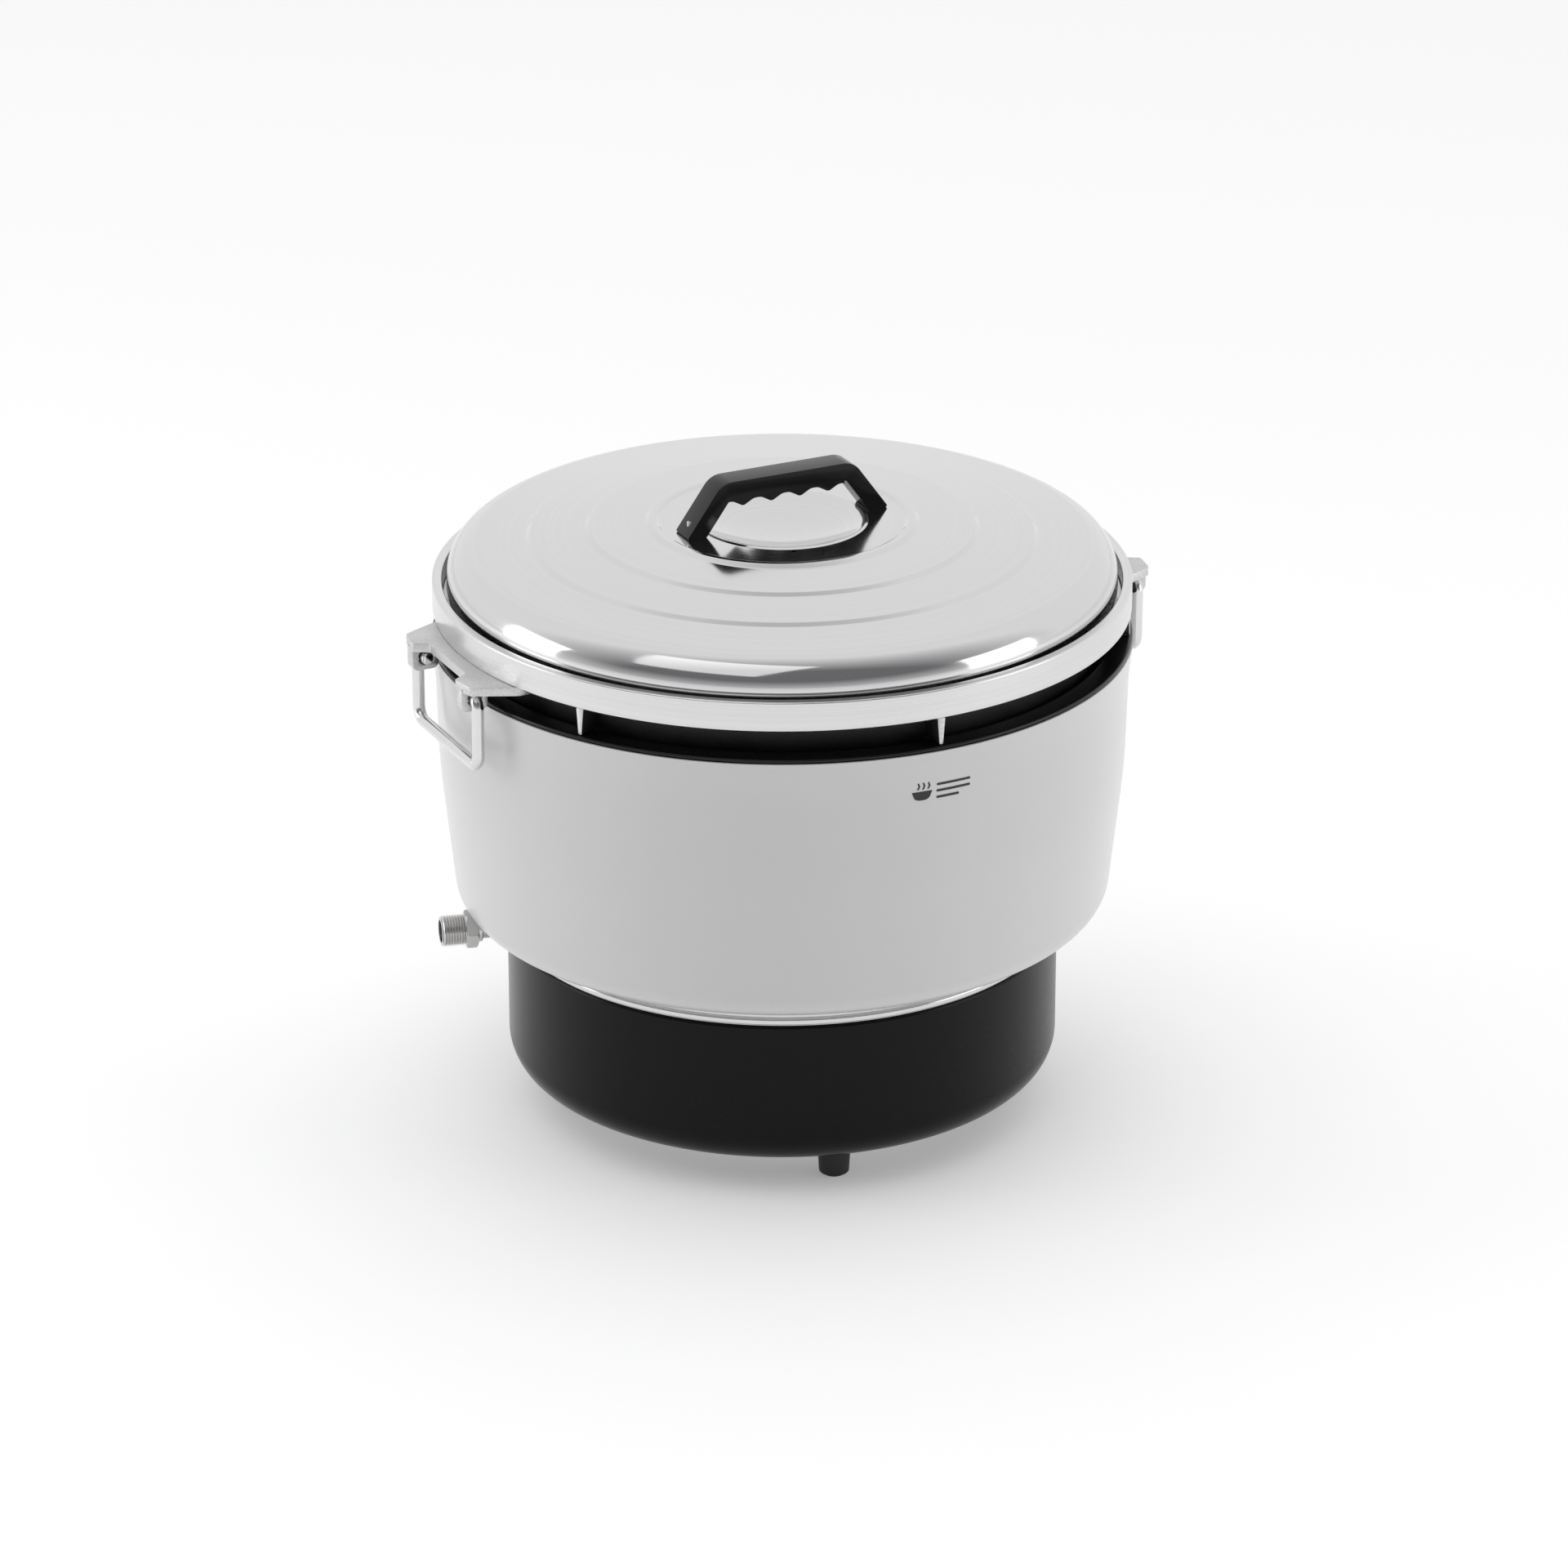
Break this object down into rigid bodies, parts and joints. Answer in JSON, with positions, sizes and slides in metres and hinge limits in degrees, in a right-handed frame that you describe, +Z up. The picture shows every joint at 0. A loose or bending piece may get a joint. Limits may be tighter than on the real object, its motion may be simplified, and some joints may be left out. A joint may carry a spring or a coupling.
{
  "type": "gas rice cooker",
  "caption": "Round gas rice cooker: cast pot with side bails under a domed lid with a bridge handle, in a flared shell on a drum base with gas inlet and controls.",
  "frame": {"origin": "on the round body's axis, on the surface that the feet stand on", "axes": "+Z up, -Y towards the front with the badge, +X to the viewer's right when facing the front; the two bails are on -X and +X"},
  "size_m": [0.4938, 0.4578, 0.4362],
  "materials": {
    "drum_enamel": "semi-gloss black enamel",
    "zinc_sheet": "zinc plated, dull",
    "foot_rubber": "matte",
    "zinc_screws": "zinc plated, bright",
    "polished_trim": "polished stainless",
    "shell_paint": "satin silver-white lacquer",
    "ring_enamel": "semi-gloss black enamel",
    "shield_steel": "bare stainless, heat tinted",
    "badge_print": "satin black print",
    "nickel_fitting": "nickel plated, satin",
    "steel_pipe": "satin",
    "burner_iron": "rough casting",
    "valve_brass": "machined",
    "copper_pipe": "drawn copper, satin",
    "electrode_ceramic": "glazed ceramic",
    "lead_silicone": "satin silicone",
    "black_plastic": "fine grained",
    "red_plastic": "moulded",
    "spring_steel": "drawn wire",
    "panel_steel": "fine brushed",
    "cast_aluminium": "machined rim, as-cast lugs, black crackle coat below the rim",
    "lid_steel": "mirror polished stainless",
    "handle_bakelite": "moulded phenolic, satin gloss",
    "bail_chrome": "plated wire",
    "plunger_aluminium": "turned"
  },
  "bodies": {
    "root": {"base_drum": "drum_enamel", "base_bottom_plate": "zinc_sheet", "drip_tray": "zinc_sheet", "rubber_feet": "foot_rubber", "foot_screws": "zinc_screws", "trim_ring": "polished_trim", "flange_bolts": "zinc_screws", "outer_shell": "shell_paint", "pot_support_ring": "ring_enamel", "heat_shield": "shield_steel", "front_badge": "badge_print", "inlet_nipple": "nickel_fitting", "gas_inlet_pipe": "steel_pipe", "burner_bracket": "zinc_sheet", "burner_body": "burner_iron", "burner_cap": "burner_iron", "mixing_tube": "burner_iron", "air_shutter": "zinc_sheet", "injector": "valve_brass", "gas_valve_body": "valve_brass", "pilot_bracket": "zinc_sheet", "pilot_burner": "valve_brass", "pilot_pipe": "copper_pipe", "thermocouple": "copper_pipe", "ignition_electrode": "electrode_ceramic", "ignition_lead": "lead_silicone", "piezo_igniter": "black_plastic", "thermostat_sleeve": "shield_steel", "thermostat_spring": "spring_steel", "control_housing": "drum_enamel", "control_panel": "panel_steel", "panel_screws": "zinc_screws", "lever_bracket": "zinc_sheet", "lever_pin": "zinc_screws"},
    "pot": {"inner_pot": "cast_aluminium", "pot_rim": "cast_aluminium", "pot_gussets": "cast_aluminium", "pot_lugs": "cast_aluminium"},
    "lid": {"lid_shell": "lid_steel", "lid_handle": "handle_bakelite", "lid_handle_washers": "zinc_screws", "lid_handle_screws": "zinc_screws"},
    "bail_left": {"bail_left": "bail_chrome"},
    "bail_right": {"bail_right": "bail_chrome"},
    "gas_knob": {"gas_knob": "black_plastic", "valve_spindle": "valve_brass"},
    "cook_lever": {"lever_arm": "zinc_sheet", "lever_tab": "black_plastic"},
    "ignition_button": {"ignition_button": "red_plastic"},
    "thermostat_plunger": {"thermostat_plunger": "plunger_aluminium"}
  },
  "joints": [
    {"name": "pot_lift", "type": "slide", "parent": "root", "child": "pot", "axis": [0, 0, 1], "range_m": [0, 0.2]},
    {"name": "lid_lift", "type": "slide", "parent": "pot", "child": "lid", "axis": [0, 0, 1], "range_m": [0, 0.1]},
    {"name": "bail_right_swing", "type": "hinge", "parent": "pot", "child": "bail_right", "pos_m": [0.2374, 0, 0.334], "axis": [0, -1, 0], "range_deg": [-3, 88]},
    {"name": "bail_left_swing", "type": "hinge", "parent": "pot", "child": "bail_left", "pos_m": [-0.2374, 0, 0.334], "axis": [0, 1, 0], "range_deg": [-3, 88]},
    {"name": "gas_knob_turn", "type": "hinge", "parent": "root", "child": "gas_knob", "pos_m": [0.038, 0.2075, 0.084], "axis": [0, 1, 0], "range_deg": [0, 90]},
    {"name": "cook_lever_press", "type": "hinge", "parent": "root", "child": "cook_lever", "pos_m": [0, 0.1683, 0.078], "axis": [-1, 0, 0], "range_deg": [0, 16]},
    {"name": "ignition_press", "type": "slide", "parent": "root", "child": "ignition_button", "axis": [0, -1, 0], "range_m": [0, 0.005], "stiffness_N_per_m": 800, "springref_m": -0.002},
    {"name": "thermostat_press", "type": "slide", "parent": "root", "child": "thermostat_plunger", "axis": [0, 0, 1], "range_m": [-0.004, 0], "stiffness_N_per_m": 500, "springref_m": 0.004, "deforming": ["thermostat_spring"]}
  ]
}
